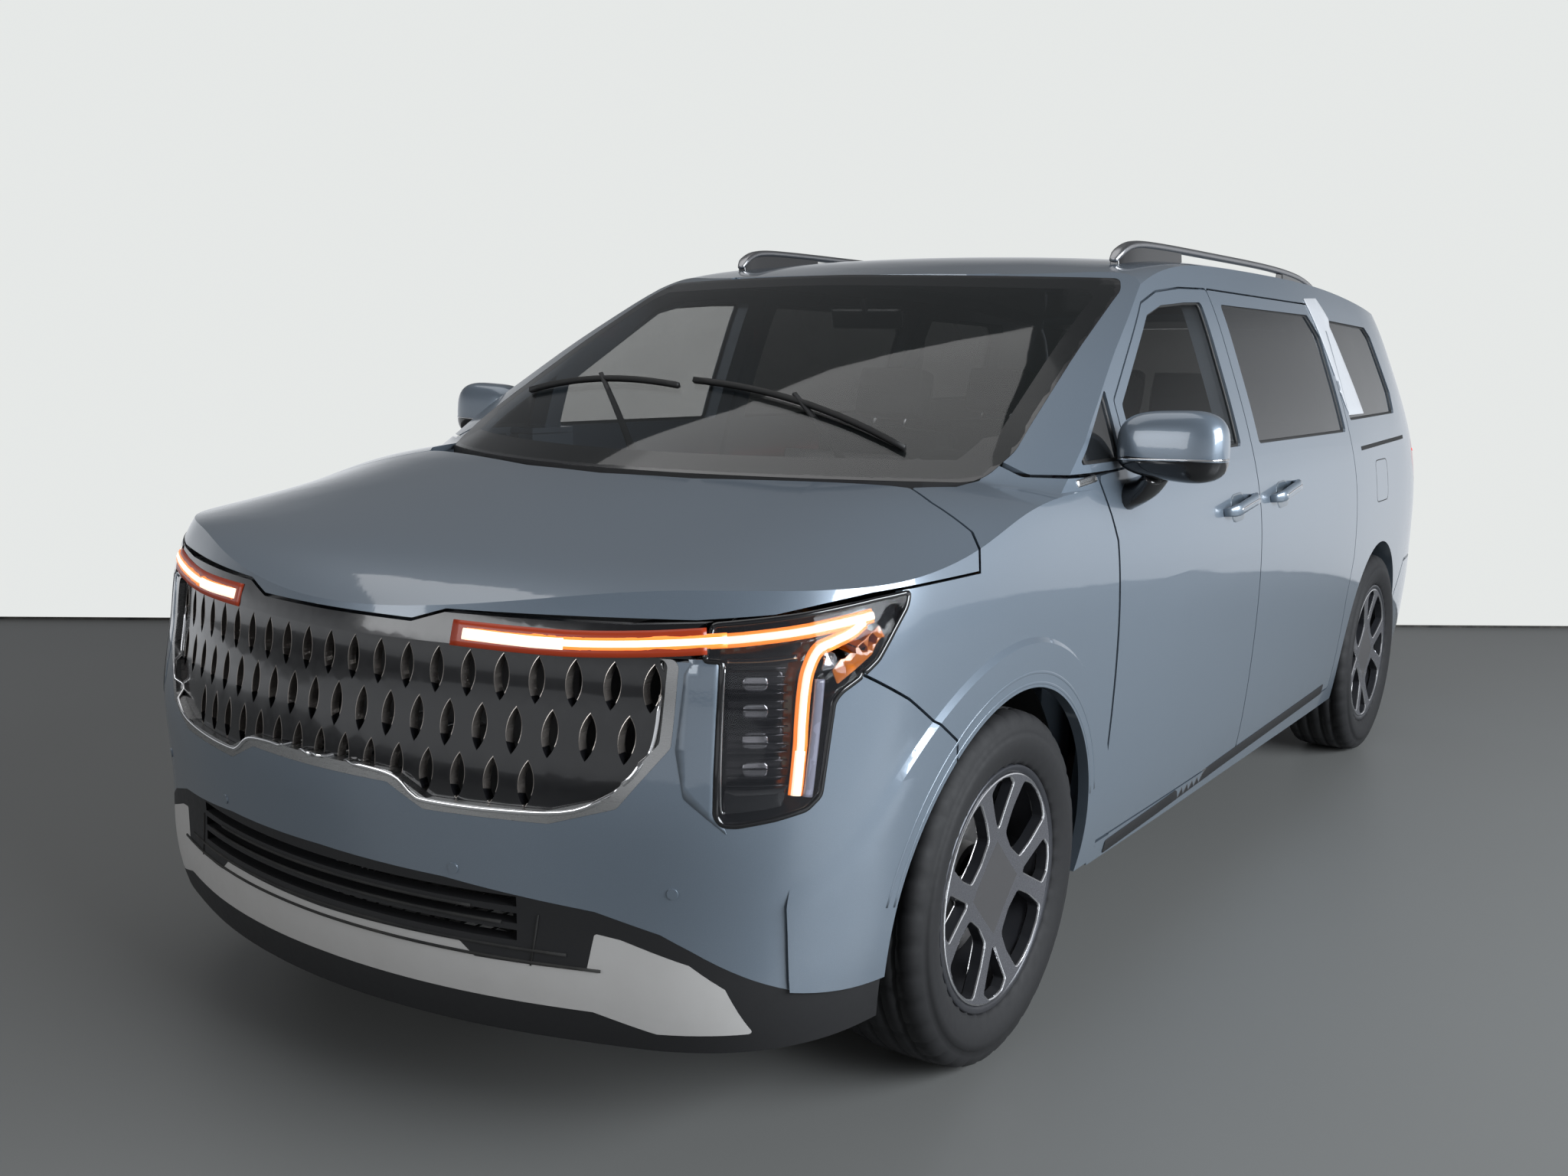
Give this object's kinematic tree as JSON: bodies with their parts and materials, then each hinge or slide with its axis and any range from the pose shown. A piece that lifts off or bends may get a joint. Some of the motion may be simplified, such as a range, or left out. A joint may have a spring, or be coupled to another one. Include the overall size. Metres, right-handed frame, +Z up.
{
  "type": "minivan",
  "caption": "Minivan with hinged front doors, hood and tailgate, sliding side doors, lattice grille and steered front wheels.",
  "frame": {"origin": "on the ground, under the middle of the vehicle's bounding box", "axes": "+X to the vehicle's left, +Y to the rear, +Z up; the front faces -Y"},
  "size_m": [2.3856, 5.1558, 1.775],
  "materials": {
    "paint": "glossy metallic",
    "frame_paint": "glossy metallic",
    "underbody": "matte",
    "black_plastic": "grained",
    "gloss_black": "glossy",
    "silver_trim": "satin silver",
    "bright_trim": "bright",
    "glass": "clear tinted",
    "dark_glass": "dark tinted",
    "lamp": "clear",
    "red_lamp": "red",
    "tyre": "matte",
    "alloy": "machined and painted",
    "cast": "rough",
    "steel": "dull",
    "dash": "grained",
    "seat": "woven",
    "engine": "cast"
  },
  "bodies": {
    "body": {"floor_pan": "underbody", "side_frame_left": "frame_paint", "side_frame_right": "frame_paint", "roof_panel": "paint", "fender_left": "paint", "fender_right": "paint", "front_bumper": "paint", "front_valance": "black_plastic", "skid_garnish": "silver_trim", "grille": "silver_trim", "grille_surround": "silver_trim", "lamp_bar": "gloss_black", "headlamps": "lamp", "rear_bumper": "paint", "tail_lamps": "red_lamp", "windscreen": "glass", "roof_rails": "bright_trim", "cowl": "black_plastic", "sliding_door_left": "paint", "sliding_door_right": "paint", "sliding_door_glass_left": "dark_glass", "sliding_door_glass_right": "dark_glass", "fixed_side_glass": "dark_glass", "instrument_panel": "dash", "front_seats": "seat", "rear_seats": "seat", "front_suspension": "steel", "rear_axle": "steel", "exhaust": "steel", "engine_block": "engine", "fuel_tank": "black_plastic"},
    "hood": {"hood": "paint"},
    "liftgate": {"liftgate": "paint", "liftgate_glass": "dark_glass"},
    "steering_wheel": {"steering_wheel": "dash"},
    "front_door_left": {"front_door_left": "paint", "front_door_glass_left": "glass", "door_mirror_left": "paint"},
    "knuckle_left": {"knuckle_left": "cast"},
    "wheel_front_left": {"tyre_front_left": "tyre", "rim_front_left": "alloy"},
    "wheel_rear_left": {"tyre_rear_left": "tyre", "rim_rear_left": "alloy"},
    "front_door_right": {"front_door_right": "paint", "front_door_glass_right": "glass", "door_mirror_right": "paint"},
    "knuckle_right": {"knuckle_right": "cast"},
    "wheel_front_right": {"tyre_front_right": "tyre", "rim_front_right": "alloy"},
    "wheel_rear_right": {"tyre_rear_right": "tyre", "rim_rear_right": "alloy"}
  },
  "joints": [
    {"name": "steer_left", "type": "hinge", "parent": "body", "child": "knuckle_left", "pos_m": [0.815, -1.6425, 0], "axis": [-0.2284, 0, 0.9736], "range_deg": [-35, 35]},
    {"name": "spin_front_left", "type": "hinge", "parent": "knuckle_left", "child": "wheel_front_left", "pos_m": [0.87, -1.6425, 0.37], "axis": [1, 0, 0], "continuous": true},
    {"name": "spin_rear_left", "type": "hinge", "parent": "body", "child": "wheel_rear_left", "pos_m": [0.87, 1.4475, 0.37], "axis": [1, 0, 0], "continuous": true},
    {"name": "steer_right", "type": "hinge", "parent": "body", "child": "knuckle_right", "pos_m": [-0.815, -1.6425, 0], "axis": [0.2284, 0, 0.9736], "range_deg": [-35, 35]},
    {"name": "spin_front_right", "type": "hinge", "parent": "knuckle_right", "child": "wheel_front_right", "pos_m": [-0.87, -1.6425, 0.37], "axis": [1, 0, 0], "continuous": true},
    {"name": "spin_rear_right", "type": "hinge", "parent": "body", "child": "wheel_rear_right", "pos_m": [-0.87, 1.4475, 0.37], "axis": [1, 0, 0], "continuous": true},
    {"name": "turn_steering_wheel", "type": "hinge", "parent": "body", "child": "steering_wheel", "pos_m": [0.375, -0.72477, 1.02062], "axis": [0, -0.9135, -0.4067], "range_deg": [-540, 540]},
    {"name": "open_front_door_left", "type": "hinge", "parent": "body", "child": "front_door_left", "pos_m": [0.955, -1.08012, 0.8], "axis": [0, 0, -1], "range_deg": [0, 68]},
    {"name": "open_front_door_right", "type": "hinge", "parent": "body", "child": "front_door_right", "pos_m": [-0.955, -1.08012, 0.8], "axis": [0, 0, 1], "range_deg": [0, 68]},
    {"name": "open_hood", "type": "hinge", "parent": "body", "child": "hood", "pos_m": [0, -1.59924, 1.15499], "axis": [-1, 0, 0], "range_deg": [0, 50]},
    {"name": "open_liftgate", "type": "hinge", "parent": "body", "child": "liftgate", "pos_m": [0, 2.0554, 1.66202], "axis": [1, 0, 0], "range_deg": [0, 80]}
  ],
  "couplings": [
    {"joint": "steer_right", "follows": "steer_left", "ratio": 1},
    {"joint": "turn_steering_wheel", "follows": "steer_left", "ratio": -15}
  ]
}
